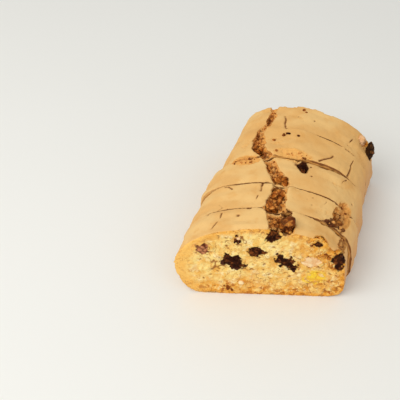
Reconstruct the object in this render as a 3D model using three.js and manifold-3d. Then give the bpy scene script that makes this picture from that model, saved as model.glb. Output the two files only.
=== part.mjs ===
// A short log of biscotti: one baked log, cut into five thick slices that still stand together,
// with chocolate, nuts and candied peel in the crumb.
// Millimetres, +Z up, +Y along the log from its front cut face to its back one, +X across it.
import * as THREE from "three";
import { mergeVertices } from "three/addons/utils/BufferGeometryUtils.js";
import Module from "manifold-3d";

const wasm = await Module();
wasm.setup();

// The baked log's cross-section
const halfWidth = 38.8;
const crownHeight = 42.4;
const baseHalfWidth = 26;

// Knife cuts from front to back: place on the centre line at the crown, turn about the vertical,
// and how far the cut leans back, in degrees
const cuts = [
  { y: -51.6, turn: 16.4, lean: 4 },
  { y: -36.5, turn: 10.8, lean: 3.5 },
  { y: -18.9, turn: 7, lean: 3 },
  { y: 1.6, turn: 8.5, lean: 2 },
  { y: 24.2, turn: 0.8, lean: 1 },
  { y: 45.4, turn: 0, lean: 0 },
];
const kerf = 0.6;

// How each slice sits in the row: its shift to the right, its height and width against the log's,
// and how much further out its round left side stands
const slices = [
  { name: "slice_1", shift: 0, rise: 1, spread: 1, leftBulge: 0 },
  { name: "slice_2", shift: 1.3, rise: 0.985, spread: 1, leftBulge: 1.4 },
  { name: "slice_3", shift: 0.6, rise: 0.985, spread: 0.985, leftBulge: 2.4 },
  { name: "slice_4", shift: 0.6, rise: 1.02, spread: 0.94, leftBulge: 0.6 },
  { name: "slice_5", shift: 0.4, rise: 0.985, spread: 0.935, leftBulge: 0.6 },
];
const ringsPerSlice = 5;
const stepsPerCurve = 8;
const unevenness = 0.5;

// The oven crack along the top: stations from front to back with its middle and its width
const crackStations = [
  { y: -62, x: 8, width: 11 },
  { y: -50, x: 7.5, width: 12 },
  { y: -44, x: 4, width: 10 },
  { y: -38, x: 1, width: 10 },
  { y: -26, x: 0.5, width: 8 },
  { y: -16, x: -1, width: 10 },
  { y: -9, x: -7, width: 6 },
  { y: -1, x: -12, width: 6 },
  { y: 5, x: -18.3, width: 7.5 },
  { y: 13, x: -20.5, width: 6 },
  { y: 22, x: -21.5, width: 3 },
  { y: 34, x: -19, width: 3.5 },
  { y: 52, x: -21, width: 4.5 },
];
const crackDepth = 3.4;
const crackStep = 2.2;
const crackRaggedness = 0.9;

// Where the crust has broken away from a slice's edge: two at the right shoulder, one along the
// fourth slice's front rim and one beside the crack. Middle and half-sizes of each hollow
const brokenEdges = [
  { slice: 1, at: [31.5, -22.5, 33], size: [6, 7, 5] },
  { slice: 2, at: [32, -14.5, 32], size: [4.5, 4.5, 4.5] },
  { slice: 3, at: [2.5, 2.4, 45.6], size: [17, 6, 4.4] },
  { slice: 0, at: [6.6, -37, 41], size: [2.8, 3.2, 3.6] },
];

// Bits that the knife laid open on a cut face: place across and height of the middle,
// then width, height and depth, and the tilt of the width in degrees
const cutBits = [
  { kind: "chocolate", slice: 0, side: "front", x: -12.7, z: 21.3, size: [13, 5.6, 7], tilt: -32 },
  { kind: "chocolate", slice: 0, side: "front", x: -2.4, z: 27.5, size: [8.5, 5.6, 7], tilt: 20 },
  { kind: "chocolate", slice: 0, side: "front", x: 11.4, z: 22, size: [12.5, 5, 7], tilt: -43 },
  { kind: "chocolate", slice: 0, side: "front", x: 3.8, z: 37, size: [8, 5.5, 8], tilt: -4 },
  { kind: "chocolate", slice: 0, side: "front", x: 34.6, z: 23.6, size: [13, 4.4, 7], tilt: 84 },
  { kind: "chocolate", slice: 0, side: "front", x: 24.2, z: 33.4, size: [8, 5, 7], tilt: -78 },
  { kind: "almond", slice: 0, side: "front", x: 22.4, z: 22, size: [9.5, 9.5, 6], tilt: -8 },
  { kind: "peel", slice: 0, side: "front", x: 24.8, z: 12.6, size: [8.5, 11, 6], tilt: 10 },
  { kind: "walnut", slice: 0, side: "front", x: -26.3, z: 28.9, size: [9.5, 4.6, 6], tilt: 18 },
  { kind: "chocolate", slice: 4, side: "back", x: 17, z: 25.5, size: [12, 6, 7], tilt: 28 },
  { kind: "chocolate", slice: 4, side: "back", x: -3, z: 18.5, size: [8, 7, 7], tilt: -15 },
  { kind: "chocolate", slice: 4, side: "back", x: -25, z: 24, size: [9, 5.5, 7], tilt: 50 },
  { kind: "almond", slice: 4, side: "back", x: 6.5, z: 32, size: [10, 6.5, 6], tilt: 20 },
  { kind: "peel", slice: 4, side: "back", x: -14, z: 30, size: [7, 8, 6], tilt: 35 },
  { kind: "walnut", slice: 4, side: "back", x: 26, z: 12, size: [9, 6, 6], tilt: -20 },
];

// Bits that stand out of the crack or the crust: middle, size, and turn about the vertical
const topBits = [
  { kind: "walnut", slice: 0, at: [9.2, -44.4, 39.8], size: [7.5, 7.5, 6.5], turn: 20 },
  { kind: "walnut", slice: 1, at: [-1.4, -33, 38.8], size: [7, 7.5, 5.5], turn: 50 },
  { kind: "walnut", slice: 1, at: [-0.2, -24, 38.8], size: [6.5, 6, 5.5], turn: -20 },
  { kind: "chocolate", slice: 2, at: [-1.2, -14.6, 38.4], size: [7.5, 5.5, 5.5], turn: 15 },
  { kind: "chocolate", slice: 2, at: [6.2, -2.9, 39.4], size: [5.2, 7, 5.5], turn: 25 },
  { kind: "chocolate", slice: 3, at: [-18.4, 6.6, 37.2], size: [5.5, 5.5, 5], turn: 0 },
  { kind: "chocolate", slice: 4, at: [34.6, 38, 26.8], size: [4.5, 7, 12], turn: -8 },
  { kind: "almond", slice: 4, at: [29.6, 40.8, 30.6], size: [5.6, 6, 6.4], turn: -20 },
];

// Clearance of a bit in the hollow that it fills, and how far a bit's middle lies behind the cut
const pocketGap = 0.3;
const bitSetback = 0.8;

const looks = {
  crust: { color: 0xe2b578, roughness: 0.85 },
  chocolate: { color: 0x2c1710, roughness: 0.4, lumps: 0.22 },
  almond: { color: 0xf0cfae, roughness: 0.6, lumps: 0.08 },
  peel: { color: 0xf2c230, roughness: 0.5, lumps: 0.14 },
  walnut: { color: 0x7a4420, roughness: 0.7, lumps: 0.18 },
};

const degrees = Math.PI / 180;

// A repeatable random number between -1 and 1 for three whole numbers
function gridRandom(i, j, k) {
  const wave = Math.sin(i * 127.1 + j * 311.7 + k * 74.7) * 43758.5453;
  return 2 * (wave - Math.floor(wave)) - 1;
}

// Smooth noise between -1 and 1 along a line, with one lane for each use
function lineNoise(at, lane) {
  const cell = Math.floor(at);
  const t = at - cell;
  const blend = t * t * (3 - 2 * t);
  return THREE.MathUtils.lerp(gridRandom(cell, lane, 0), gridRandom(cell + 1, lane, 0), blend);
}

function mergedCopy(geometry) {
  const bare = geometry.clone();
  bare.deleteAttribute("normal");
  bare.deleteAttribute("uv");
  return mergeVertices(bare, 1e-4);
}

function solidFrom(geometry) {
  const merged = mergedCopy(geometry);
  return new wasm.Manifold(new wasm.Mesh({
    numProp: 3,
    vertProperties: new Float32Array(merged.attributes.position.array),
    triVerts: new Uint32Array(merged.index.array),
  }));
}

function geometryFrom(solid) {
  const mesh = solid.getMesh();
  const geometry = new THREE.BufferGeometry();
  geometry.setAttribute("position", new THREE.BufferAttribute(mesh.vertProperties, 3));
  geometry.setIndex(new THREE.BufferAttribute(mesh.triVerts, 1));
  geometry.computeVertexNormals();
  return geometry;
}

// A closed body through a row of rings that all hold the same number of points
function loft(rings, flatOutline) {
  const count = rings[0].length;
  const index = [];
  for (let ring = 0; ring + 1 < rings.length; ring += 1) {
    for (let k = 0; k < count; k += 1) {
      const a = ring * count + k;
      const b = ring * count + ((k + 1) % count);
      index.push(a, b + count, b, a, a + count, b + count);
    }
  }
  const last = (rings.length - 1) * count;
  for (const [a, b, c] of THREE.ShapeUtils.triangulateShape(flatOutline, [])) {
    index.push(a, b, c, last + a, last + c, last + b);
  }
  const geometry = new THREE.BufferGeometry().setFromPoints(rings.flat());
  geometry.setIndex(index);
  return geometry;
}

// The log's outline across, anticlockwise from the left end of its flat base: the right foot and
// flank, the long right slope, the crown, the round left shoulder and the undercut left foot
function sectionOutline({ shift, rise, spread, leftBulge }) {
  const w = halfWidth * spread;
  const left = w + leftBulge;
  const h = crownHeight * rise;
  const path = new THREE.Path();
  path.moveTo(-baseHalfWidth, 0);
  path.lineTo(baseHalfWidth + 5, 0);
  path.bezierCurveTo(0.95 * w, 0, 1.01 * w, 0.06 * h, w, 0.17 * h);
  path.bezierCurveTo(0.98 * w, 0.4 * h, 0.96 * w, 0.62 * h, 0.82 * w, 0.7 * h);
  path.bezierCurveTo(0.65 * w, 0.9 * h, 0.35 * w, 0.95 * h, 0.02 * w, 0.99 * h);
  path.bezierCurveTo(-0.2 * left, 1.01 * h, -0.45 * left, 0.95 * h, -0.66 * left, 0.87 * h);
  path.bezierCurveTo(-0.85 * left, 0.8 * h, -1.01 * left, 0.62 * h, -left, 0.46 * h);
  path.bezierCurveTo(-0.98 * left, 0.25 * h, -0.88 * left, 0.02 * h, -baseHalfWidth, 0);
  const points = path.getPoints(stepsPerCurve);
  points.pop();
  return points.map((point) => new THREE.Vector2(point.x + shift, point.y));
}

// Where a knife cut passes a point of the section
function cutPlace({ y, turn, lean }, x, z) {
  return y + x * Math.tan(turn * degrees) + (z - crownHeight) * Math.tan(lean * degrees);
}

// One slice, with a faintly uneven crust between its two flat cut faces
function sliceGeometry(slice, number) {
  const outline = sectionOutline(slice);
  const [front, back] = [cuts[number], cuts[number + 1]];
  const rings = [];
  for (let ring = 0; ring <= ringsPerSlice; ring += 1) {
    const share = ring / ringsPerSlice;
    rings.push(outline.map((point, k) => {
      const swell = 1 + (unevenness / halfWidth) * lineNoise(k * 0.35 + number * 40, ring);
      const x = point.x * swell;
      const z = point.y * swell;
      const y = THREE.MathUtils.lerp(
        cutPlace(front, x, z) + kerf / 2,
        cutPlace(back, x, z) - kerf / 2,
        share,
      );
      return new THREE.Vector3(x, y, z);
    }));
  }
  return loft(rings, outline);
}

// A value of the crack between the two stations beside a place along the log
function alongCrack(y, key) {
  const next = Math.max(1, crackStations.findIndex((station) => station.y >= y));
  const [from, to] = [crackStations[next - 1], crackStations[next]];
  return THREE.MathUtils.mapLinear(y, from.y, to.y, from[key], to[key]);
}

// Height of the log's crust over a place across it
const crustLine = sectionOutline({ shift: 0, rise: 1, spread: 1, leftBulge: 0 });
function crustOver(across) {
  const upper = crustLine.filter((point) => point.y > crownHeight / 2);
  const next = upper.findIndex((point) => point.x < across);
  const [from, to] = [upper[next - 1], upper[next]];
  return THREE.MathUtils.mapLinear(across, from.x, to.x, from.y, to.y);
}

// The groove that the crack leaves in the crust, as a body to cut away
function crackGeometry() {
  const first = crackStations[0].y;
  const length = crackStations.at(-1).y - first;
  const steps = Math.round(length / crackStep);
  const sections = [];
  for (let step = 0; step <= steps; step += 1) {
    const y = first + (length * step) / steps;
    const middle = alongCrack(y, "x");
    const half = alongCrack(y, "width") / 2;
    const left = middle - half + crackRaggedness * lineNoise(step * 0.9, 101);
    const right = middle + half + crackRaggedness * lineNoise(step * 0.9, 102);
    const depth = crackDepth * (0.9 + 0.3 * lineNoise(step * 0.7, 103));
    sections.push([
      new THREE.Vector3(left + 0.3 * half, y, crustOver(left) - depth),
      new THREE.Vector3(right - 0.5 * half, y, crustOver(right) - 0.9 * depth),
      new THREE.Vector3(right, y, crustOver(right) - 0.3 * depth),
      new THREE.Vector3(right, y, crownHeight + 6),
      new THREE.Vector3(left, y, crownHeight + 6),
      new THREE.Vector3(left, y, crustOver(left) - 0.3 * depth),
    ]);
  }
  return loft(sections, sections[0].map(({ x, z }) => new THREE.Vector2(x, z)));
}

// A rounded lump of the given sizes about the origin, its surface knocked about by a share
function lumpGeometry(size, lumps, seed) {
  const geometry = mergedCopy(new THREE.IcosahedronGeometry(0.5, 1));
  const places = geometry.attributes.position;
  for (let k = 0; k < places.count; k += 1) {
    const point = new THREE.Vector3().fromBufferAttribute(places, k);
    point.multiplyScalar(1 + lumps * gridRandom(k, seed, 7));
    point.multiply(new THREE.Vector3(...size));
    places.setXYZ(k, point.x, point.y, point.z);
  }
  return geometry;
}

// The lump of a bit where it lies, and the same lump grown by the clearance of its hollow
function bitSolids({ kind, size }, seed, placement) {
  return [0, 2 * pocketGap].map((growth) => {
    const grownSize = size.map((side) => side + growth);
    return solidFrom(lumpGeometry(grownSize, looks[kind].lumps, seed).applyMatrix4(placement));
  });
}

function cutBitPlacement({ slice, side, x, z, tilt }) {
  const isFront = side === "front";
  const cut = cuts[slice + (isFront ? 0 : 1)];
  const y = cutPlace(cut, x, z) + (isFront ? bitSetback : -bitSetback);
  return new THREE.Matrix4().makeTranslation(x, y, z)
    .multiply(new THREE.Matrix4().makeRotationZ(cut.turn * degrees))
    .multiply(new THREE.Matrix4().makeRotationY(-tilt * degrees));
}

function topBitPlacement({ at, turn }) {
  return new THREE.Matrix4().makeTranslation(...at)
    .multiply(new THREE.Matrix4().makeRotationZ(turn * degrees));
}

function makeMesh(name, solid, { color, roughness }) {
  const material = new THREE.MeshStandardMaterial({ color, roughness, metalness: 0 });
  const mesh = new THREE.Mesh(geometryFrom(solid), material);
  mesh.name = name;
  return mesh;
}

// The slices with the crack and the broken edges cut out
function bakedSlices() {
  const crack = solidFrom(crackGeometry());
  const bodies = slices.map((slice, number) => (
    solidFrom(sliceGeometry(slice, number)).subtract(crack)
  ));
  for (const [number, { slice, at, size }] of brokenEdges.entries()) {
    const sides = size.map((half) => 2 * half);
    const place = new THREE.Matrix4().makeTranslation(...at);
    const hollow = solidFrom(lumpGeometry(sides, 0.1, 60 + number).applyMatrix4(place));
    bodies[slice] = bodies[slice].subtract(hollow);
  }
  return bodies;
}

function buildLog() {
  const group = new THREE.Group();
  const bodies = bakedSlices();
  const counts = {};
  for (const [seed, bit] of [...cutBits, ...topBits].entries()) {
    const isCut = "side" in bit;
    const placement = isCut ? cutBitPlacement(bit) : topBitPlacement(bit);
    const [lump, hollow] = bitSolids(bit, seed, placement);
    const body = bodies[bit.slice];
    const bitBody = isCut ? lump.intersect(body) : lump;
    bodies[bit.slice] = body.subtract(hollow);
    counts[bit.kind] = (counts[bit.kind] ?? 0) + 1;
    group.add(makeMesh(`${bit.kind}_${counts[bit.kind]}`, bitBody, looks[bit.kind]));
  }
  for (const [number, body] of bodies.entries()) {
    group.add(makeMesh(slices[number].name, body, looks.crust));
  }
  return group;
}

// The origin lies in the middle of the base of the whole log's box
function centreOnBase(group) {
  const box = new THREE.Box3().setFromObject(group, true);
  const middle = box.getCenter(new THREE.Vector3());
  group.position.set(-middle.x, -middle.y, -box.min.z);
  return group;
}

export default centreOnBase(buildLog());
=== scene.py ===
import itertools
import math
from types import SimpleNamespace

import bmesh
import bpy
import numpy as np
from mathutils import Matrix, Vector
from mathutils.bvhtree import BVHTree
from mathutils.kdtree import KDTree


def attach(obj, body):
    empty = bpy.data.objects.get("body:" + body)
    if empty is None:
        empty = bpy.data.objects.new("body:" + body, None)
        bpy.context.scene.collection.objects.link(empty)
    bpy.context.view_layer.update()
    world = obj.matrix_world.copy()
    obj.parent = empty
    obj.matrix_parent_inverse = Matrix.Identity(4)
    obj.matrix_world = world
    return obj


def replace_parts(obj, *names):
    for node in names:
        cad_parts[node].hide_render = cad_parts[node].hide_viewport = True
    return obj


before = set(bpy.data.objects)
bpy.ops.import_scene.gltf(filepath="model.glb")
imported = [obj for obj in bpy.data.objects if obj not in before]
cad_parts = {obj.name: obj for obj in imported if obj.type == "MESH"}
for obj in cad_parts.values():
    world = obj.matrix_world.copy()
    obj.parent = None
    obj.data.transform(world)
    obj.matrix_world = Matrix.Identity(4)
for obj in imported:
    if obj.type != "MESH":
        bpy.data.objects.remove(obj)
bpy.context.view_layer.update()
mm = 0.001
print("frame loaded:", len(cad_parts), "CAD nodes")


def scramble(i, j, k, seed):  # 0 to 1, the same number each time for a cell of a grid
    n = (i * 73856093) ^ (j * 19349663) ^ (k * 83492791) ^ (seed * 26544357)
    n = ((n ^ (n >> 13)) * 1274126177) & 0xFFFFFFFF
    n = ((n ^ (n >> 15)) * 668265263) & 0xFFFFFFFF
    return ((n ^ (n >> 16)) & 0xFFFFFF) / 0xFFFFFF


def softNoise(points, size, seed):  # -1 to 1, lumps about as wide as size in mm
    p = points / size
    cell = np.floor(p).astype(np.int64)
    t = p - cell
    t = t * t * (3 - 2 * t)
    total = np.zeros(len(points))
    for dx, dy, dz in itertools.product((0, 1), repeat=3):
        weight = (t[:, 0] if dx else 1 - t[:, 0]) * (t[:, 1] if dy else 1 - t[:, 1])
        weight = weight * (t[:, 2] if dz else 1 - t[:, 2])
        total += weight * scramble(cell[:, 0] + dx, cell[:, 1] + dy, cell[:, 2] + dz, seed)
    return 2 * total - 1


def layeredNoise(points, size, seed, layers=3):  # soft noise with finer layers on it
    total = np.zeros(len(points))
    share = 1.0
    for layer in range(layers):
        total += share * softNoise(points + 17.3 * layer, size / 2 ** layer, seed + layer)
        share *= 0.55
    return total / 1.7


def bubbles(points, size, share, seed):  # 0 to 1, round hollows, a share of the cells has one
    p = points / size
    cell = np.floor(p).astype(np.int64)
    deepest = np.zeros(len(points))
    for step in itertools.product((-1, 0, 1), repeat=3):
        i, j, k = (cell[:, axis] + step[axis] for axis in range(3))
        alive = scramble(i, j, k, seed) < share
        if not alive.any():
            continue
        i, j, k = i[alive], j[alive], k[alive]
        centre = np.stack([i + scramble(i, j, k, seed + 1), j + scramble(i, j, k, seed + 2),
                           k + scramble(i, j, k, seed + 3)], axis=1)
        radius = 0.28 + 0.42 * scramble(i, j, k, seed + 4)
        reach = np.linalg.norm(p[alive] - centre, axis=1) / radius
        deepest[alive] = np.maximum(deepest[alive], np.clip(1 - reach ** 2, 0, 1))
    return deepest


def facets(points, size, seed):  # flat-faced broken chunks: height, creases between them, and a tone
    p = points / size
    cell = np.floor(p).astype(np.int64)
    nearest, second = np.full(len(points), 9.0), np.full(len(points), 9.0)
    height, tone = np.zeros(len(points)), np.zeros(len(points))
    for step in itertools.product((-1, 0, 1), repeat=3):
        i, j, k = (cell[:, axis] + step[axis] for axis in range(3))
        jitter = [scramble(i, j, k, seed + n) for n in range(7)]
        away = p - np.stack([i + jitter[0], j + jitter[1], k + jitter[2]], axis=1)
        reach = np.linalg.norm(away, axis=1)
        tilt = (np.stack(jitter[3:6], axis=1) - 0.5) * 1.6
        closer = reach < nearest
        second = np.where(closer, nearest, np.minimum(second, reach))
        height = np.where(closer, jitter[6] - 0.5 + (away * tilt).sum(axis=1), height)
        tone = np.where(closer, jitter[0], tone)
        nearest = np.minimum(nearest, reach)
    return height, 1 - fade(second - nearest, 0.0, 0.22), tone


def fade(value, low, high):  # 0 below low, 1 above high, smooth between
    t = np.clip((value - low) / (high - low), 0, 1)
    return t * t * (3 - 2 * t)


def readPoints(mesh):
    flat = np.empty(len(mesh.vertices) * 3, np.float32)
    mesh.vertices.foreach_get("co", flat)
    return flat.reshape(-1, 3).astype(float) / mm


def readNormals(mesh):
    flat = np.empty(len(mesh.vertices) * 3, np.float32)
    mesh.vertex_normals.foreach_get("vector", flat)
    return flat.reshape(-1, 3).astype(float)


def writePoints(mesh, points):
    mesh.vertices.foreach_set("co", (points * mm).astype(np.float32).ravel())
    mesh.update()


def writeMark(mesh, name, values):  # a number on every point, for the materials
    mark = mesh.attributes.new(name, "FLOAT", "POINT")
    mark.data.foreach_set("value", np.asarray(values, np.float32))


def fineCopy(node, name, voxel):  # the CAD solid as an even, fine mesh
    piece = bpy.data.objects.new(name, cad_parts[node].data.copy())
    piece.data.materials.clear()
    bpy.context.scene.collection.objects.link(piece)
    remesh = piece.modifiers.new("remesh", "REMESH")
    remesh.mode = "VOXEL"
    remesh.voxel_size = voxel * mm
    solid = piece.evaluated_get(bpy.context.evaluated_depsgraph_get())
    mesh = bpy.data.meshes.new_from_object(solid)
    piece.modifiers.clear()
    piece.data = mesh
    mesh.name = name
    mesh.shade_smooth()
    return piece


def nearestDistance(tree, points):
    return np.array([tree.find_nearest(Vector(p))[3] for p in points])


def cutPlane(mesh, side):  # the flat knife face towards -Y (side -1) or +Y (side 1)
    facing = [p for p in mesh.polygons if p.normal.y * side > 0.85]
    widest = max(facing, key=lambda p: p.area)
    return np.array(widest.center) / mm, np.array(widest.normal)


def outerForm(points, cutNormals):  # search trees of the hull, and of its baked outside alone
    form = bmesh.new()
    for p in points:
        form.verts.new(p)
    made = bmesh.ops.convex_hull(form, input=form.verts)
    loose = [g for g in made["geom_interior"] if isinstance(g, bmesh.types.BMVert)]
    bmesh.ops.delete(form, geom=loose, context="VERTS")
    form.normal_update()
    whole = BVHTree.FromBMesh(form)
    cuts = [f for f in form.faces if max(abs(f.normal.dot(Vector(n))) for n in cutNormals) > 0.97]
    bmesh.ops.delete(form, geom=cuts, context="FACES_ONLY")
    outside = BVHTree.FromBMesh(form)
    form.free()
    return whole, outside


sliceLook = {
    "voxel": 0.42,            # mm, mesh fineness
    "draftVoxel": 0.84,
    "crustWave": 0.34,        # mm, slow unevenness of the crust
    "crustDimples": 0.14,
    "crustGrain": 0.05,
    "crumbLumps": 0.6,        # mm, unevenness of the cut crumb
    "crumbGrains": 0.22,      # mm, height of its grains
    "crumbHollows": 0.7,      # mm, depth of the larger holes
    "crumbPores": 0.55,
    "crumbCurls": 0.45,       # mm, little torn lines in the crumb
    "cutWander": 0.8,         # mm, how far the outlines in the cut face wander
    "cutEdge": (0.25, 0.8),   # mm from the cut where crumb gives way to crust
    "freshDepth": 6.0,        # mm behind the log's two end faces that look freshly cut
    "crackLumps": 0.5,        # mm, torn crumb in the crack
    "crackChunk": 1.9,        # mm, width of its chunks
    "crackChunks": 1.2,
    "crackPores": 0.8,
    "crackWander": 0.7,
    "crackStart": (0.55, 1.2),  # mm below the baked outline where the crust gives way
    "crackHeart": (1.1, 3.4),   # mm below it where painted shade darkens the crack
    "edgeWidth": 0.7,         # mm, the edge where the crust meets a cut
    "edgeLoss": 0.28,         # mm worn off it
    "edgeChips": 1.2,         # mm, odd chips along that edge
    "lipWidth": (0.9, 1.8),   # mm, baked lip along the cuts between slices
    "seamShade": 0.85,
    "seamFade": 0.45,         # how much paler the seams' painted shade is on the left
    "leftSide": (18, 32),     # mm left of the middle where the round left side begins
    "rimLeft": 8.0,           # mm of close, smooth crumb inside the round left side
    "rimElsewhere": 3.0,
    "rimSmooth": 0.35,        # how far that crumb is smoothed, and how much more on the left
    "rimSmoothLeft": 0.6,
    "toastRight": (6, 30),    # mm right of the middle where the crumb gets browner
    "toastFoot": (3, 14),     # mm above the base, the same
    "faceDepth": (4, 8),      # mm behind a cut to which its pockets and outlines reach
    "gapShadeDepth": (1.0, 3.2),    # mm in from the crust where painted shade darkens the hidden cut faces between slices
    "pocketWall": (0.5, 1.0),  # mm from a bit
    # mm from a bit over which a ring of painted shade lies on the crust
    "bitShadowReach": (0.4, 1.0),
    "peelStain": (0.3, 2.2),
    "nutStain": (0.2, 1.3),
}

# splits in the crust: width, depth and the way they take, in mm seen from above
fissures = [
    (0.34, 0.8, [(-24.7, -50), (-23.9, -45.2), (-22.9, -42.2), (-22.1, -38.8), (-22.3, -34)]),
    (0.26, 0.5, [(-9, -19.9), (-9.2, -22.9), (-9.8, -25.8)]),
    (0.55, 1.2, [(-7.3, -9.6), (-9.3, -10.8), (-9.2, -13.3), (-8.7, -16.1)]),
    (0.24, 0.4, [(-13, -10.6), (-20, -11.4), (-27, -13.6)]),
    (0.5, 0.8, [(12.6, 14.7), (15.4, 17.9), (17.5, 20.5), (18.5, 23.4)]),
    (0.34, 0.5, [(12.9, 14.4), (15, 13.2), (17, 13.6)]),
    (0.34, 0.7, [(23.2, 34.1), (23.1, 38.3), (23.7, 42), (24.7, 45.6)]),
    (0.55, 1.2, [(27.8, 24.5), (28.1, 21.1), (27.6, 16.8), (31.3, 15.5)]),
    (0.3, 0.6, [(28.1, 29.5), (27.8, 26.5), (27.8, 24.5)]),
    (1.1, 1.8, [(24.1, -21.5), (26, -21), (28.2, -19.1), (31.6, -17.7), (32.5, -19.3)]),
    (0.5, 1.0, [(27.6, -14.5), (29.2, -7.3), (33.1, 2.1)]),
    (0.4, 0.8, [(33.6, -7.4), (36, -5.9)]),
    (0.6, 1.1, [(33, -23.7), (33.1, -28.9), (32.3, -33.9)]),
    (0.34, 0.6, [(22.3, -9.5), (21.2, -13.4), (20.1, -17.2), (19.5, -19.1)]),
    (0.28, 0.5, [(27.7, 13.4), (26.3, 9.8), (26, 6.2), (25.4, 2)]),
    (0.4, 0.7, [(-27, -14.1), (-25.6, -13.8), (-23, -15.7)]),
    (0.34, 0.6, [(-26.1, -26.4), (-23.8, -29), (-25.4, -30.6)]),
    (0.24, 0.5, [(-23.6, -31), (-22.9, -34)]),
    (0.55, 0.8, [(-10, 35.5), (-11.2, 39), (-11.4, 42), (-12.9, 46)]),
]

# where the crust has broken off: middle and half-sizes in mm, and how rough it is inside and how dark the
# painted shade in it is
brokenEdges = [
    ((31.8, -11.5, 30.5), (3.6, 6.2, 3.6), 0.3),
    ((32, -4.6, 29.6), (2.8, 3, 2.8), 0.2),
    ((28.6, -18.4, 33), (3.6, 2.4, 3.4), 1.0),
    ((26, -20.8, 34.6), (3.2, 1.4, 2.4), 1.0),
    ((31.6, -17.3, 30), (2.4, 2.2, 2.6), 0.8),
    ((34.2, -26.5, 27), (2.2, 5.5, 4.2), 0.4),
    ((-24.5, 6.8, 38), (9.5, 3, 5), 0.2),
    ((2.4, 12.1, 45.6), (17, 6, 4.4), 0.0),
    ((6.5, -27.3, 41), (2.8, 3.2, 3.6), 0.8),
]

# small pits in the crust: place seen from above, radius and depth, in mm
pits = [
    (-29, -34, 0.7, 0.7), (-14.1, -35.4, 0.9, 0.9), (-8.6, 27.2, 0.9, 0.8), (-6.4, 28.3, 0.6, 0.7),
    (-1.2, 27.9, 0.8, 0.9), (4.7, 23.9, 0.35, 0.4), (1.6, 10.6, 1.5, 1.4), (6.6, 24.6, 0.35, 0.4),
    (-9, 33, 0.7, 0.7),
    (-5.6, 45.5, 0.5, 0.5), (-2.2, 42.6, 0.45, 0.4), (3.4, 45.2, 0.5, 0.5), (13.4, -13, 0.5, 0.4),
    (15.6, -10.8, 0.45, 0.4), (16.4, -15.4, 0.5, 0.5), (2.8, 8.4, 0.9, 0.9), (11.6, 3.2, 0.5, 0.4),
    (-12.3, -46.2, 0.4, 0.4), (9.8, 9.6, 0.5, 0.6),
]


above = 80  # mm, well over the log
down = Vector((0, 0, -1))


def crustPlace(tree, x, y):
    hit = tree.ray_cast(Vector((x, y, above)), down)[0]
    return None if hit is None else np.array(hit)


def crustWounds(points, outside):  # how deep splits and pits go, and how much painted shade darkens them
    depth, dark = np.zeros(len(points)), np.zeros(len(points))
    ragged = 0.14 * softNoise(points, 1.1, 91)
    broken = fade(softNoise(points, 2.6, 92), -0.95, -0.35)
    for width, deep, path in fissures:
        lifted = [crustPlace(outside, x, y) for x, y in path]
        for start, end in zip(lifted, lifted[1:]):
            if start is None or end is None:
                continue
            along = end - start
            t = np.clip((points - start) @ along / (along @ along), 0, 1)
            near = np.linalg.norm(points - start - t[:, None] * along, axis=1) + ragged
            worn = np.exp(-(np.maximum(near, 0) / width) ** 2) * broken
            depth, dark = np.maximum(depth, deep * worn), np.maximum(dark, worn)
    for x, y, radius, deep in pits:
        middle = crustPlace(outside, x, y)
        if middle is not None:
            near = np.linalg.norm(points - middle, axis=1) + 2 * ragged
            worn = np.exp(-(np.maximum(near, 0) / radius) ** 2)
            depth, dark = np.maximum(depth, deep * worn), np.maximum(dark, worn)
    return depth, dark


def brokenShare(points):  # how much a point belongs to a broken edge, and how much painted shade darkens it
    share, dark = np.zeros(len(points)), np.zeros(len(points))
    wobble = 0.1 * layeredNoise(points, 3, 88)
    for middle, size, darkness in brokenEdges:
        inside = 1 - fade(np.linalg.norm((points - middle) / size, axis=1) + wobble, 0.98, 1.14)
        share = np.maximum(share, inside)
        dark = np.maximum(dark, darkness * inside)
    return share, dark


def findCutBits():  # outline, seen along the log, of each bit that a knife face lays open
    found = {}
    for node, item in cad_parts.items():
        if node.startswith("slice_"):
            continue
        points = readPoints(item.data)
        for at, out in knifeFaces:
            if ((at - points) @ out).min() < 0.05:
                across = points[:, (0, 2)]
                middle = across.mean(axis=0)
                turn = np.linalg.eigh(np.cov((across - middle).T))[1]
                half = np.abs((across - middle) @ turn).max(axis=0)
                found[node] = (middle, turn, half, (at, out))
    return found


def bareShare(points, node):  # 1 where this bit lies bare in the knife face, 0 where crumb covers it
    middle, turn, half, (at, out) = cutBits[node]
    reach = np.linalg.norm((points[:, (0, 2)] - middle) @ turn / half, axis=1)
    reach += 0.52 * layeredNoise(points, 2.1, 300 + 7 * int(node.split("_")[1]))
    share = bareReach.get(node, bareReach[node.split("_")[0]])
    return (1 - fade(reach, share, share + 0.12)) * (1 - fade((at - points) @ out, 2, 4))


def nodeTree(names):  # search tree through the CAD solids of these nodes, in mm
    form = bmesh.new()
    for name in names:
        form.from_mesh(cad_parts[name].data)
    form.verts.ensure_lookup_table()
    for v in form.verts:
        v.co = v.co / mm
    tree = BVHTree.FromBMesh(form)
    form.free()
    return tree


def wander(points, amount, size, seed, axes):  # the same shift for whatever lies at one place
    shift = np.zeros_like(points)
    for axis in axes:
        shift[:, axis] = amount * layeredNoise(points, size, seed + axis)
    return shift


def crumbRelief(points, look):  # torn crumb of a cut: height, depth of its holes, and their shade
    upright = points * (1, 1, 1.25)
    holes = bubbles(upright, 4.2, 0.2, 11)
    pores = bubbles(upright, 1.7, 0.15, 21)
    curls = 1 - fade(np.abs(softNoise(points, 2.4, 25)), 0.03, 0.13)
    curls = curls * fade(softNoise(points, 4, 26), 0.05, 0.35)
    hollow = look["crumbHollows"] * holes + look["crumbPores"] * pores + look["crumbCurls"] * curls
    grains = bubbles(points, 1.9, 0.85, 43)
    raised = look["crumbLumps"] * layeredNoise(points, 3.2, 41, 4) + look["crumbGrains"] * (grains - 0.4)
    return raised, hollow, np.clip(0.4 * holes + 0.9 * pores + 0.9 * curls, 0, 1)


def leftShare(points, look):  # 1 in the round left side of the log, 0 elsewhere
    return fade(-points[:, 0], *look["leftSide"])


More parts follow.
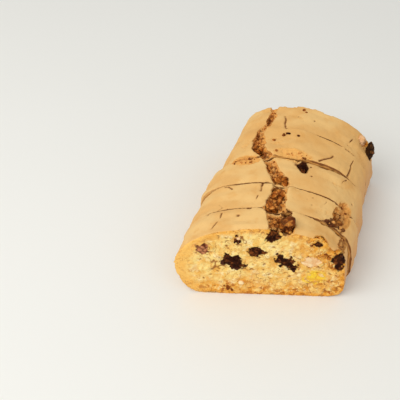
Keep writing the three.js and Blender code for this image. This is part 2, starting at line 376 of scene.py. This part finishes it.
def smoothShare(rim, left, look):  # how far the crumb is smoothed
    return rim * (look["rimSmooth"] + look["rimSmoothLeft"] * left)


def measureSlice(number, mesh, look, bitTrees):  # where each point lies in its slice, in mm
    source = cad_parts[f"slice_{number}"].data
    points, normals = readPoints(mesh), readNormals(mesh)
    (frontAt, frontOut), (backAt, backOut) = cutPlane(source, -1), cutPlane(source, 1)
    toFront = (frontAt - points) @ frontOut
    toBack = (backAt - points) @ backOut
    whole, outside = outerForm(readPoints(source), (frontOut, backOut))
    nearBit = {kind: nearestDistance(tree, points) for kind, tree in bitTrees.items()}
    fresh = np.zeros(len(points), bool)
    if number == 1:
        fresh = toFront < look["freshDepth"]
    if number == 5:
        fresh = toBack < look["freshDepth"]
    toCut = np.minimum(toFront, toBack)
    return SimpleNamespace(
        points=points, normals=normals, outside=outside, nearBit=nearBit,
        toBit=np.minimum.reduce(list(nearBit.values())),
        toCut=toCut, nearCut=1 - fade(toCut, *look["faceDepth"]),
        facing=np.maximum(np.abs(normals @ frontOut), np.abs(normals @ backOut)),
        inward=nearestDistance(whole, points), toCrust=nearestDistance(outside, points),
        left=leftShare(points, look), hidden=1.0 - fresh)


def splitShares(at, look):  # how much of each point is cut crumb, torn crack or crust
    inPocket = (1 - fade(at.toBit, *look["pocketWall"])) * at.nearCut
    flat = 1 - fade(at.toCut, *look["cutEdge"])
    crumb = np.maximum(flat * fade(at.facing, 0.55, 0.88), inPocket)
    lip = 1 - fade(at.toCrust + 0.4 * softNoise(at.points, 2, 89), *look["lipWidth"])
    lip = lip * at.hidden
    # painted shade along the seams between slices, paler on the left
    seam = lip * crumb * (look["seamShade"] - look["seamFade"] * at.left)
    crumb = crumb * (1 - lip)
    broken, brokenDark = brokenShare(at.points)
    opened = fade(at.inward + 0.25 * softNoise(at.points, 1.4, 90), *look["crackStart"])
    crack = np.maximum(opened, broken) * (1 - crumb)
    crust = (1 - crumb) * (1 - crack)
    rimWidth = look["rimElsewhere"] + (look["rimLeft"] - look["rimElsewhere"]) * at.left
    rim = np.exp(-(at.toCrust / rimWidth) ** 2)
    return SimpleNamespace(
        crumb=crumb, seam=seam, crack=crack, crust=crust, broken=broken, brokenDark=brokenDark,
        base=fade(-at.normals[:, 2], 0.5, 0.9) * crust, rim=rim, smooth=smoothShare(rim, at.left, look))


def shapeSlice(at, share, look):  # moves the points, and returns the shades that go with the relief
    points = at.points
    inner = fade(at.toCrust, 0.8, 3) * at.nearCut
    lips = fade(at.inward, 0.15, 0.7) * (1 - share.crumb)
    moved = wander(points, look["cutWander"], 2.2, 31, (0, 2)) * inner[:, None]
    moved += wander(points, look["crackWander"], 2.4, 36, (0, 1)) * lips[:, None]

    raised, hollow, shade = crumbRelief(points, look)
    push = share.crumb * (raised - hollow) * (1 - share.smooth)
    chunks, creases, tone = facets(points + 0.5 * moved, look["crackChunk"], 51)
    rough = np.where(share.broken > 0.5, np.maximum(share.brokenDark, 0.3), 1.0)
    torn = look["crackLumps"] * layeredNoise(points, 2, 61) + look["crackChunks"] * chunks
    push += share.crack * rough * (torn - look["crackPores"] * creases)
    wave = look["crustWave"] * softNoise(points, 13, 71) + look["crustGrain"] * softNoise(points, 1.6, 72)
    wave += look["crustDimples"] * softNoise(points * (0.7, 1.5, 1), 4.5, 73)
    push += share.crust * (1 - share.base) * wave
    corner = np.exp(-(np.clip(at.toCut, 0, None) + at.toCrust) / look["edgeWidth"]) * (1 - share.base)
    push -= look["edgeLoss"] * corner * (0.9 + 0.7 * softNoise(points, 1.8, 81))
    push -= look["edgeChips"] * corner * fade(softNoise(points, 3.4, 82), 0.25, 0.6)
    depth, dark = crustWounds(points, at.outside)
    push -= depth * share.crust

    places = points + moved + at.normals * push[:, None]
    places[:, 2] = np.maximum(places[:, 2], 0)
    return places, SimpleNamespace(
        # painted shade in the crumb's pores, torn lines and low hollows
        pitShade=shade * share.crumb * (1 - share.smooth), creviceShade=fade(-raised, 0.0, 0.45) * (1 - share.smooth),
        # painted shade in the crust's splits and pits, and along the seams between slices
        split=np.maximum(dark * share.crust, share.seam), creases=creases, tone=tone)


def sliceMarks(at, share, shades, look):  # what the biscuit's colours follow
    points = at.points
    foot = 1 - fade(points[:, 2], *look["toastFoot"])
    toast = np.maximum(0.9 * fade(points[:, 0], *look["toastRight"]), foot) * (1 - 0.6 * at.left)
    toast = toast * (0.75 + 1.1 * layeredNoise(points, 4.5, 99)) + 0.6 * share.rim * (1 - at.left)
    # a ring of painted shade on the crust around each bit
    seatShadow = 1 - fade(at.toBit + 0.3 * softNoise(points, 1.6, 98), *look["bitShadowReach"])
    nearPeel = at.nearBit["peel"] + 0.9 * softNoise(points, 1.8, 96)
    nearNut = at.nearBit["walnut"] + 0.5 * softNoise(points, 1.5, 97)
    bare = [bareShare(points, name) for name in cutBits if name.startswith("chocolate")]
    return {
        "crumb": share.crumb, "crack": share.crack, "rim": share.rim,
        # torn: painted shade in the creases between chunks
        "split": shades.split, "torn": shades.creases, "chunk": shades.tone,
        "pitShade": shades.pitShade, "creviceShade": shades.creviceShade, "toast": np.clip(toast, 0, 1),
        # dark: painted shade inside the broken edges
        "dark": share.brokenDark, "golden": share.broken * (share.brokenDark < 0.1),
        # deep: painted shade deeper in the crack and inside the broken edges
        "deep": np.maximum(fade(at.inward, *look["crackHeart"]), share.brokenDark),
        # inside: painted shade deep in the gaps between slices
        "hidden": at.hidden, "inside": at.hidden * fade(at.toCrust, *look["gapShadeDepth"]),
        "seatShadow": seatShadow * (1 - share.crumb), "chocolateSmear": np.maximum.reduce(bare),
        "peelTint": 1 - fade(nearPeel, *look["peelStain"]),
        "nutTint": 1 - fade(nearNut, *look["nutStain"]),
    }


def bakeSlice(number, look, bitTrees):  # one slice with its crust, crumb and crack
    node = f"slice_{number}"
    piece = fineCopy(node, f"biscuitSlice{number}", look["voxel"])
    at = measureSlice(number, piece.data, look, bitTrees)
    share = splitShares(at, look)
    places, shades = shapeSlice(at, share, look)
    writePoints(piece.data, places)
    for name, values in sliceMarks(at, share, shades, look).items():
        writeMark(piece.data, name, values)
    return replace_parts(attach(piece, "root"), node)


def newMaterial(name):
    material = bpy.data.materials.new(name)
    material.use_nodes = True
    tree = material.node_tree
    tree.nodes.clear()
    output = tree.nodes.new("ShaderNodeOutputMaterial")
    shader = tree.nodes.new("ShaderNodeBsdfPrincipled")
    tree.links.new(shader.outputs[0], output.inputs[0])
    shader.location, output.location = (900, 0), (1200, 0)
    return material, tree, shader


def linear(colour):  # from 0-255 screen values
    return tuple(((c / 255 + 0.055) / 1.055) ** 2.4 for c in colour) + (1.0,)


def mark(tree, name):  # a number written on the mesh by writeMark
    node = tree.nodes.new("ShaderNodeAttribute")
    node.attribute_name = name
    return node.outputs["Fac"]


def noise(tree, scale, detail=3.0, roughness=0.55):  # scale in lumps per mm
    place = tree.nodes.new("ShaderNodeTexCoord")
    node = tree.nodes.new("ShaderNodeTexNoise")
    node.inputs["Scale"].default_value = scale / mm
    node.inputs["Detail"].default_value = detail
    node.inputs["Roughness"].default_value = roughness
    tree.links.new(place.outputs["Object"], node.inputs["Vector"])
    return node.outputs["Fac"]


def ramp(tree, source, low, high):  # 0 below low to 1 above high
    node = tree.nodes.new("ShaderNodeMapRange")
    node.interpolation_type = "SMOOTHSTEP"
    tree.links.new(source, node.inputs["Value"])
    node.inputs["From Min"].default_value = low
    node.inputs["From Max"].default_value = high
    return node.outputs["Result"]


def multiply(tree, a, b):
    node = tree.nodes.new("ShaderNodeMath")
    node.operation = "MULTIPLY"
    for value, socket in ((a, node.inputs[0]), (b, node.inputs[1])):
        if isinstance(value, (int, float)):
            socket.default_value = value
        else:
            tree.links.new(value, socket)
    return node.outputs[0]


def blendColours(tree, amount, a, b):
    node = tree.nodes.new("ShaderNodeMix")
    node.data_type = "RGBA"  # its colours go in at 6 and 7 and come out at 2
    tree.links.new(amount, node.inputs["Factor"])
    for value, socket in ((a, node.inputs[6]), (b, node.inputs[7])):
        if isinstance(value, tuple):
            socket.default_value = linear(value)
        else:
            tree.links.new(value, socket)
    return node.outputs[2]


def roughen(tree, shader, height, strength, distance):  # fine bump, distance in mm
    node = tree.nodes.new("ShaderNodeBump")
    node.inputs["Strength"].default_value = strength
    node.inputs["Distance"].default_value = distance * mm
    tree.links.new(height, node.inputs["Height"])
    tree.links.new(node.outputs[0], shader.inputs["Normal"])


biscuitColours = {
    "crustPale": (237, 193, 124), "crustTan": (230, 179, 108), "crustToasted": (224, 164, 86),
    "crustFoot": (220, 166, 110), "splitShade": (132, 80, 36), "seatShade": (128, 76, 36),
    "crumbCream": (253, 222, 140), "crumbMiddle": (243, 196, 104), "crumbGold": (250, 196, 104),
    "crumbOrange": (234, 160, 54), "crumbPale": (254, 233, 172), "poreShade": (150, 86, 32),
    "crumbHidden": (214, 146, 66), "crumbGapShade": (136, 82, 36), "speck": (150, 84, 34),
    "crackGold": (236, 172, 90), "rimGold": (236, 178, 98), "crackRust": (222, 144, 60),
    "crackDark": (158, 88, 32), "crackShade": (84, 40, 14), "crackCrumb": (236, 174, 96),
    "crumbBrown": (180, 102, 34), "chocolateSmear": (70, 30, 11), "peelTint": (248, 204, 58),
    "nutTint": (214, 144, 98),
}


def crumbColour(tree, c):  # the cut crumb, also where it lies over the bits
    crumb = blendColours(tree, ramp(tree, noise(tree, 0.18, 5, 0.65), 0.46, 0.64),
                         c["crumbCream"], c["crumbMiddle"])
    crumb = blendColours(tree, multiply(tree, ramp(tree, noise(tree, 0.26, 4), 0.52, 0.64), 0.85),
                         crumb, c["crumbPale"])
    crumb = blendColours(tree, ramp(tree, mark(tree, "rim"), 0.2, 0.85), crumb, c["crumbGold"])
    orange = ramp(tree, noise(tree, 0.42, 5, 0.7), 0.4, 0.56)
    crumb = blendColours(tree, multiply(tree, mark(tree, "toast"), orange), crumb, c["crumbOrange"])
    brown = ramp(tree, noise(tree, 0.45, 4, 0.65), 0.52, 0.59)
    crumb = blendColours(tree, multiply(tree, mark(tree, "toast"), brown), crumb, c["crumbBrown"])
    orange = ramp(tree, noise(tree, 0.6, 4, 0.65), 0.5, 0.66)
    crumb = blendColours(tree, multiply(tree, orange, 0.5), crumb, c["crumbOrange"])
    # painted shade: the crumb's low hollows turn darker orange
    crumb = blendColours(tree, multiply(tree, mark(tree, "creviceShade"), 0.6), crumb, c["crumbOrange"])
    threads = noise(tree, 0.34, 3, 0.6)
    threads = multiply(tree, ramp(tree, threads, 0.482, 0.498), ramp(tree, threads, 0.518, 0.502))
    threads = multiply(tree, threads, ramp(tree, noise(tree, 0.22, 2), 0.46, 0.56))
    crumb = blendColours(tree, multiply(tree, threads, 0.75), crumb, c["crumbBrown"])
    crumb = blendColours(tree, multiply(tree, mark(tree, "peelTint"), 0.9), crumb, c["peelTint"])
    crumb = blendColours(tree, multiply(tree, mark(tree, "nutTint"), 0.5), crumb, c["nutTint"])
    # painted shade in the crumb's pores and torn lines
    crumb = blendColours(tree, multiply(tree, ramp(tree, mark(tree, "pitShade"), 0.25, 1.0), 0.85),
                         crumb, c["poreShade"])
    crumb = blendColours(tree, ramp(tree, noise(tree, 0.7, 2), 0.74, 0.78), crumb, c["speck"])
    crumb = blendColours(tree, multiply(tree, mark(tree, "hidden"), 0.75), crumb, c["crumbHidden"])
    # painted shade deep in the gaps between slices
    crumb = blendColours(tree, mark(tree, "inside"), crumb, c["crumbGapShade"])
    return blendColours(tree, ramp(tree, mark(tree, "chocolateSmear"), 0.2, 0.7), crumb, c["chocolateSmear"])


def biscuitMaterial(c):
    material, tree, shader = newMaterial("bakedBiscuit")
    place = tree.nodes.new("ShaderNodeTexCoord")
    axes = tree.nodes.new("ShaderNodeSeparateXYZ")
    tree.links.new(place.outputs["Object"], axes.inputs[0])
    crust = blendColours(tree, ramp(tree, noise(tree, 0.06, 3), 0.38, 0.62), c["crustPale"], c["crustTan"])
    patches = multiply(tree, ramp(tree, noise(tree, 0.13, 4), 0.54, 0.72), 0.55)
    crust = blendColours(tree, patches, crust, c["crustToasted"])
    freckles = multiply(tree, ramp(tree, noise(tree, 0.8, 3), 0.58, 0.78), 0.35)
    crust = blendColours(tree, freckles, crust, c["crustToasted"])
    farEnd = multiply(tree, ramp(tree, axes.outputs["Y"], 0.0, 24 * mm), 0.35)
    farEnd = multiply(tree, farEnd, ramp(tree, axes.outputs["Y"], 50 * mm, 30 * mm))
    crust = blendColours(tree, farEnd, crust, c["crustToasted"])
    foot = multiply(tree, ramp(tree, axes.outputs["Z"], 36 * mm, 6 * mm),
                    ramp(tree, axes.outputs["X"], 20 * mm, 38 * mm))
    crust = blendColours(tree, foot, crust, c["crustFoot"])
    # painted shade in the crust's splits and pits and along the seams between slices
    crust = blendColours(tree, ramp(tree, mark(tree, "split"), 0.1, 0.9), crust, c["splitShade"])
    # painted shade around the bits where they sit in the crust
    crust = blendColours(tree, mark(tree, "seatShadow"), crust, c["seatShade"])

    crumb = crumbColour(tree, c)

    inner = blendColours(tree, ramp(tree, mark(tree, "chunk"), 0.15, 0.45), c["crackDark"], c["crackRust"])
    inner = blendColours(tree, ramp(tree, mark(tree, "chunk"), 0.6, 0.85), inner, c["crackCrumb"])
    inner = blendColours(tree, ramp(tree, noise(tree, 0.6, 4, 0.65), 0.57, 0.72), inner, c["crackDark"])
    # painted shade in the creases between the crack's chunks
    inner = blendColours(tree, multiply(tree, mark(tree, "torn"), 0.8), inner, c["crackShade"])
    outer = blendColours(tree, multiply(tree, ramp(tree, noise(tree, 0.4, 4, 0.65), 0.56, 0.74), 0.7),
                         c["crackGold"], c["crackRust"])
    outer = blendColours(tree, multiply(tree, mark(tree, "golden"), 0.85), outer, c["rimGold"])
    # painted shade inside the broken edges
    inner = blendColours(tree, multiply(tree, mark(tree, "dark"), 0.9), inner, c["crackShade"])
    # deeper in the crack the colour turns darker: painted shade over its rust crumb
    crack = blendColours(tree, ramp(tree, mark(tree, "deep"), 0.1, 0.55), outer, inner)

    both = blendColours(tree, mark(tree, "crack"), crust, crack)
    full = blendColours(tree, mark(tree, "crumb"), both, crumb)
    tree.links.new(full, shader.inputs["Base Color"])
    shader.inputs["Roughness"].default_value = 0.8
    shader.inputs["Specular IOR Level"].default_value = 0.22
    roughen(tree, shader, noise(tree, 1.5, 5, 0.65), 0.35, 0.25)
    return material


# bits: mesh fineness, how lumpy they are, width and height of their broken chunks and depth of the
# creases between those, and how high and how far their crumb cover laps over the crumb around, in mm
bitLooks = {
    "chocolate": {"voxel": 0.26, "lumps": 0.9, "chunk": 3.0, "chunks": 0.9,
                  "colours": ((50, 18, 4), (124, 66, 26)), "dust": (166, 98, 44),
                  "creaseShade": (28, 9, 2), "creases": 0.2,
                  "shine": 0.05, "roughness": 0.6, "tuck": 0.12, "flange": 0.6},
    "walnut": {"voxel": 0.26, "lumps": 0.5, "chunk": 2.8, "chunks": 2.4,
               "creaseShade": (80, 36, 8), "creases": 0.35,
               "colours": ((118, 56, 10), (190, 116, 42)), "dust": (216, 150, 76),
               "shine": 0.1, "roughness": 0.5, "tuck": 0.12, "flange": 0.6},
    "almond": {"voxel": 0.28, "lumps": 0.8, "chunk": 4.5, "chunks": 0.8,
               "creaseShade": (236, 180, 120), "creases": 0.15,
               "colours": ((252, 222, 170), (248, 200, 142)), "dust": (236, 180, 96),
               "shine": 0.2, "roughness": 0.6, "tuck": 0.1, "flange": 0.6},
    "peel": {"voxel": 0.28, "lumps": 0.9, "chunk": 4.0, "chunks": 0.8,
             "creaseShade": (236, 172, 50), "creases": 0.15,
             "colours": ((252, 212, 52), (242, 182, 54)), "dust": (240, 184, 90),
             "shine": 0.3, "roughness": 0.5, "tuck": 0.1, "flange": 0.6},
}
# bits with looks of their own: the faint nut smear at the front left, the nut and the browned bits in
# the crack, and the two bits on the back slice's right flank, which are sunk a little deeper
crackBit = {"colours": ((168, 92, 28), (232, 158, 74)), "dust": (230, 164, 88), "creaseShade": (84, 40, 10),
            "chunk": 2.0, "chunks": 1.3, "creases": 0.3, "lumps": 0.5}
ownLooks = {
    "walnut_1": {"colours": ((206, 136, 92), (140, 76, 46)), "dust": (232, 176, 112)},
    "walnut_3": {"chunk": 3.4, "chunks": 1.8, "lumps": 0.4, "dust": (190, 118, 50),
                 "colours": ((112, 52, 10), (182, 110, 42))},
    "walnut_4": crackBit,
    "walnut_5": crackBit,
    "chocolate_10": crackBit,
    "chocolate_12": crackBit,
    "chocolate_13": {"colours": ((58, 34, 14), (120, 78, 34)), "lumps": 0.3, "chunks": 0.4, "sunk": 0.8},
    "almond_3": {"colours": ((236, 190, 142), (228, 174, 122)), "lumps": 0.5, "chunks": 0.5, "sunk": 1.6},
}
# how far each bit lies bare before crumb covers it
bareReach = {"chocolate": 0.74, "walnut": 0.75, "almond": 0.84, "peel": 0.86,
             "chocolate_1": 0.86, "chocolate_3": 0.68, "chocolate_4": 0.7, "chocolate_5": 0.66,
             "chocolate_6": 0.5, "walnut_1": 0.7}
# how bits fit, in mm
bitFit = {
    "swell": 0.2,             # larger than the CAD solid, to meet the walls of its pocket
    "sideSwell": 0.35,        # the same for the sides of a bit that a cut lays open
    "bareSink": 0.2,          # its bare part lies this much behind the cut
    "bareBumps": 0.2,         # share of the lumps that are left in the bare part
    "faceSkin": (0.15, 0.6),  # behind the cut: its flat face,
    "faceBand": (0.3, 1.2),   # what follows the crumb's relief,
    "coverDepth": (1.5, 3),   # and what carries the crumb's colours
    "coreHeight": 15,         # sunk bits move towards the middle of the log at this height
}


def bitMaterial(kind, look):
    material, tree, shader = newMaterial(kind + "Surface")
    first, second = look["colours"]
    colour = blendColours(tree, ramp(tree, noise(tree, 0.4, 4, 0.6), 0.46, 0.64), first, second)
    colour = blendColours(tree, ramp(tree, noise(tree, 0.45, 4), 0.64, 0.69), colour, look["dust"])
    # painted shade in the creases between the bit's chunks
    colour = blendColours(tree, multiply(tree, mark(tree, "torn"), 0.8), colour, look["creaseShade"])
    colour = blendColours(tree, mark(tree, "covered"), colour, crumbColour(tree, biscuitColours))
    tree.links.new(colour, shader.inputs["Base Color"])
    shader.inputs["Roughness"].default_value = look["roughness"]
    shader.inputs["Specular IOR Level"].default_value = look["shine"]
    roughen(tree, shader, noise(tree, 1.2, 4), 0.5, 0.3)
    return material


# the marks that the crumb's colours follow
crumbMarks = ("rim", "toast", "creviceShade", "pitShade", "peelTint", "nutTint", "hidden", "inside", "chocolateSmear")


def copyMarks(points, slicePiece, names):  # what the slice's crumb carries next to each point
    places = readPoints(slicePiece.data)
    tree = KDTree(len(places))
    for index, place in enumerate(places):
        tree.insert(place, index)
    tree.balance()
    nearest = [tree.find(Vector(p))[1] for p in points]
    copied = {}
    for name in names:
        values = np.empty(len(places), np.float32)
        slicePiece.data.attributes[name].data.foreach_get("value", values)
        copied[name] = values[nearest]
    return copied


def makeBit(node, kind, look, material, slicePieces):
    number = int(node.split("_")[1])
    piece = fineCopy(node, f"{kind}Piece{number}", look["voxel"])
    points, normals = readPoints(piece.data), readNormals(piece.data)
    bumps = look["lumps"] * layeredNoise(points, 2.2, 7 * number, 4)
    chunks, creases = facets(points, look["chunk"], 40 + number)[:2]
    bumps += look["chunks"] * chunks - look["creases"] * creases
    marks = {name: np.zeros(len(points)) for name in crumbMarks + ("covered",)}
    # painted shade in the creases between the chunks
    marks["torn"] = creases
    moved = normals * (bumps + bitFit["swell"])[:, None]
    if node in cutBits:  # flush with the knife face, its edge tucked over the crumb around it
        at, out = cutBits[node][3]
        depth = (at - points) @ out
        flat = (1 - fade(depth, *bitFit["faceSkin"])) * fade(normals @ out, 0.3, 0.8)
        near = 1 - fade(depth, *bitFit["faceBand"])
        covered = (1 - bareShare(points, node)) * (1 - fade(depth, *bitFit["coverDepth"]))
        marks.update(copyMarks(points, slicePieces[0 if out[1] < 0 else -1], ("rim", "toast")))
        raised, hollow, shade = crumbRelief(points, sliceLook)
        smooth = smoothShare(marks["rim"], leftShare(points, sliceLook), sliceLook)
        # painted shade in the crumb's pores, torn lines and low hollows, also where crumb covers a bit
        marks["pitShade"] = shade * (1 - smooth)
        marks["creviceShade"] = fade(-raised, 0.0, 0.45) * (1 - smooth)
        marks["covered"] = covered
        level = covered * ((raised - hollow) * (1 - smooth) + look["tuck"])
        level += (1 - covered) * (bitFit["bareBumps"] * bumps - bitFit["bareSink"])
        sides = bumps * (1 - near) + bitFit["sideSwell"] + look["flange"] * near * covered
        moved = normals * (sides * (1 - flat))[:, None] + out * (near * level)[:, None]
        moved += wander(points, sliceLook["cutWander"], 2.2, 31, (0, 2))
    core = np.array([0, points[:, 1].mean(), bitFit["coreHeight"]]) - points.mean(axis=0)
    moved = moved + look.get("sunk", 0) * core / np.linalg.norm(core)
    writePoints(piece.data, points + moved)
    for name, values in marks.items():
        writeMark(piece.data, name, values)
    piece.data.materials.append(material)
    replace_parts(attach(piece, "root"), node)


def lumpMesh(name, places, sizes, seed):  # one mesh of many small angular lumps
    form = bmesh.new()
    bmesh.ops.create_icosphere(form, subdivisions=2, radius=1)
    ball = np.array([v.co for v in form.verts])
    faces = np.array([[v.index for v in f.verts] for f in form.faces])
    form.free()
    points, polygons = [], []
    for index, (place, size) in enumerate(zip(places, sizes)):
        offset = 5.1 * index
        spin = scramble(np.arange(3), np.array([index] * 3), np.array([seed] * 3), 5)
        stretch = 0.65 + 0.7 * spin
        bumps = 1 + 0.45 * softNoise(ball * 1.3 + offset, 1.0, seed)
        points.append(ball * bumps[:, None] * stretch * size / 2 + place)
        polygons.append(faces + index * len(ball))
    mesh = bpy.data.meshes.new(name)
    mesh.from_pydata((np.concatenate(points) * mm).tolist(), [], np.concatenate(polygons).tolist())
    mesh.shade_smooth()
    piece = bpy.data.objects.new(name, mesh)
    bpy.context.scene.collection.objects.link(piece)
    return piece


# loose crumbs in the crack: how many, and their size in mm
crumbLook = {"paleCount": 130, "darkCount": 70, "smallest": 0.6, "largest": 1.9,
             "colours": ((220, 156, 82), (166, 98, 40)), "dust": (234, 178, 104),
             "creaseShade": (166, 98, 40), "shine": 0.2, "roughness": 0.8}


def crackPlaces(slicePieces, count, seed):  # random places on the torn crumb of the crack
    chosen = []
    random = np.random.default_rng(seed)
    for piece in slicePieces:
        mesh = piece.data
        torn = np.empty(len(mesh.vertices), np.float32)
        mesh.attributes["crack"].data.foreach_get("value", torn)
        places = readPoints(mesh)[(torn > 0.9) & (readNormals(mesh)[:, 2] > 0.3)]
        if len(places):
            chosen.append(places[random.choice(len(places), min(len(places), count // 5), replace=False)])
    return np.concatenate(chosen), random


def makeCrumbs(slicePieces, look, paleSurface, nutSurface):
    sorts = (("paleCrumbs", "paleCount", 3, paleSurface, "biscuit"),
             ("nutCrumbs", "darkCount", 8, nutSurface, "walnut"))
    for name, countKey, seed, material, slot in sorts:
        places, random = crackPlaces(slicePieces, look[countKey], seed)
        spread = look["largest"] - look["smallest"]
        sizes = look["smallest"] + spread * random.random(len(places)) ** 2
        piece = lumpMesh(name, places, sizes, seed)
        piece.data.materials.append(material)
        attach(piece, "root")


# small flecks: place and size in mm, with no height for those that lie on the top crust
flecks = {
    "chocolateFlecks": ("chocolate", [
        ((-8.8, 27.2, None), 2.4), ((-6.6, 28.2, None), 1.9), ((-1.2, 27.9, None), 2.1),
        ((-9.6, -47.4, 34.4), 2.2), ((-11.8, -48.4, 35.4), 2.3), ((-11.0, -48.0, 37.4), 1.8)]),
    "nutFlecks": ("walnut", [
        ((-13.8, -48.6, 4.3), 2.4), ((-15.6, -49.0, 5.4), 1.6), ((-11.8, -48.6, 3.2), 1.6),
        ((-12.7, 22.8, None), 1.7), ((-4, 51.7, None), 1.5), ((-2.4, 50.2, None), 1.3),
        ((28.3, -34.5, 27.4), 1.9), ((29.9, -34.2, 25.6), 1.7), ((24.4, -36.6, 33.6), 1.6)]),
    "almondFlecks": ("almond", [((-7.8, -46.7, 7.9), 2.6), ((-9.6, -47.4, 36.4), 1.5)]),
}


def makeFlecks(slicePieces, surfaces):
    forms = [bmesh.new() for piece in slicePieces]
    for form, piece in zip(forms, slicePieces):
        form.from_mesh(piece.data)
    trees = [BVHTree.FromBMesh(form) for form in forms]
    for name, (kind, spots) in flecks.items():
        places, sizes = [], []
        for (x, y, z), size in spots:
            if z is None:
                hits = [tree.ray_cast(Vector((x, y, above)) * mm, down)[0] for tree in trees]
                hit = max((h for h in hits if h is not None), key=lambda h: h.z)
            else:
                hit = trees[0].find_nearest(Vector((x, y, z)) * mm)[0]
            places.append(np.array(hit) / mm)
            sizes.append(size)
        piece = lumpMesh(name, places, sizes, len(name))
        piece.data.materials.append(surfaces[kind])
        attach(piece, "root")
    for form in forms:
        form.free()


stageLook = {"floorColour": (241, 241, 236), "floorShade": (237, 237, 232), "floorSize": 4.0}


def makeFloor(look):
    bpy.ops.mesh.primitive_plane_add(size=look["floorSize"])
    floor = bpy.context.object
    floor.name = "paleFloor"
    material, tree, shader = newMaterial("paleFloor")
    colour = blendColours(tree, noise(tree, 0.004, 2), look["floorColour"], look["floorShade"])
    tree.links.new(colour, shader.inputs["Base Color"])
    shader.inputs["Roughness"].default_value = 0.6
    floor.data.materials.append(material)


lights = {  # place in mm, size in mm, watts, colour
    "keyLight": ((-360, -420, 640), 620, 3.5, (1.0, 0.985, 0.96)),
    "fillLight": ((460, -500, 420), 700, 0.8, (1.0, 0.98, 0.96)),
}
roomLook = {"colour": (1.0, 0.995, 0.985, 1), "strength": 0.6}


def makeLights():
    for name, (place, size, watts, colour) in lights.items():
        lamp = bpy.data.lights.new(name, "AREA")
        lamp.size = size * mm
        lamp.energy = watts
        lamp.color = colour
        holder = bpy.data.objects.new(name, lamp)
        holder.location = Vector(place) * mm
        holder.rotation_euler = (-holder.location).to_track_quat("-Z", "Y").to_euler()
        bpy.context.scene.collection.objects.link(holder)
    world = bpy.data.worlds.new("softRoom")
    world.use_nodes = True
    background = world.node_tree.nodes["Background"]
    background.inputs["Color"].default_value = roomLook["colour"]
    background.inputs["Strength"].default_value = roomLook["strength"]
    bpy.context.scene.world = world


cameraLook = {"azimuth": 19, "elevation": 43, "distance": 435, "aim": (-48.1, 9.7, 0), "lens": 72}


def makeCamera(look):
    camera = bpy.data.cameras.new("camera")
    camera.lens = look["lens"]
    camera.sensor_width = 36
    camera.clip_start, camera.clip_end = 0.01, 20
    holder = bpy.data.objects.new("camera", camera)
    turn, rise = math.radians(look["azimuth"]), math.radians(look["elevation"])
    back = Vector((math.sin(turn) * math.cos(rise), -math.cos(turn) * math.cos(rise), math.sin(rise)))
    holder.location = (Vector(look["aim"]) + back * look["distance"]) * mm
    holder.rotation_euler = (-back).to_track_quat("-Z", "Y").to_euler()
    bpy.context.scene.collection.objects.link(holder)
    bpy.context.scene.camera = holder


makeCamera(cameraLook)
makeLights()
makeFloor(stageLook)
bpy.context.scene.view_settings.view_transform = "Standard"
print("stage, lights and camera ready")

kinds = sorted(bitLooks)
bitNodes = {kind: sorted(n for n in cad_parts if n.startswith(kind + "_")) for kind in kinds}
bitTrees = {kind: nodeTree(bitNodes[kind]) for kind in kinds}
knifeFaces = [cutPlane(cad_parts["slice_1"].data, -1), cutPlane(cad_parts["slice_5"].data, 1)]
cutBits = findCutBits()
biscuit = biscuitMaterial(biscuitColours)
slicePieces = []
for number in range(1, 6):
    slicePiece = bakeSlice(number, sliceLook, bitTrees)
    slicePiece.data.materials.append(biscuit)
    slicePieces.append(slicePiece)
    print("slice", number, "baked:", len(slicePiece.data.polygons), "faces")

surfaces = {kind: bitMaterial(kind, bitLooks[kind]) for kind in kinds}
for kind in kinds:
    for node in bitNodes[kind]:
        look = {**bitLooks[kind], **ownLooks.get(node, {})}
        surface = bitMaterial(node + "Own", look) if node in ownLooks else surfaces[kind]
        makeBit(node, kind, look, surface, slicePieces)
print("chocolate, nuts and peel in place")

crumbSurface = bitMaterial("crumb", crumbLook)
makeCrumbs(slicePieces, crumbLook, crumbSurface, surfaces["walnut"])
makeFlecks(slicePieces, surfaces)
print("crumbs and flecks in place")
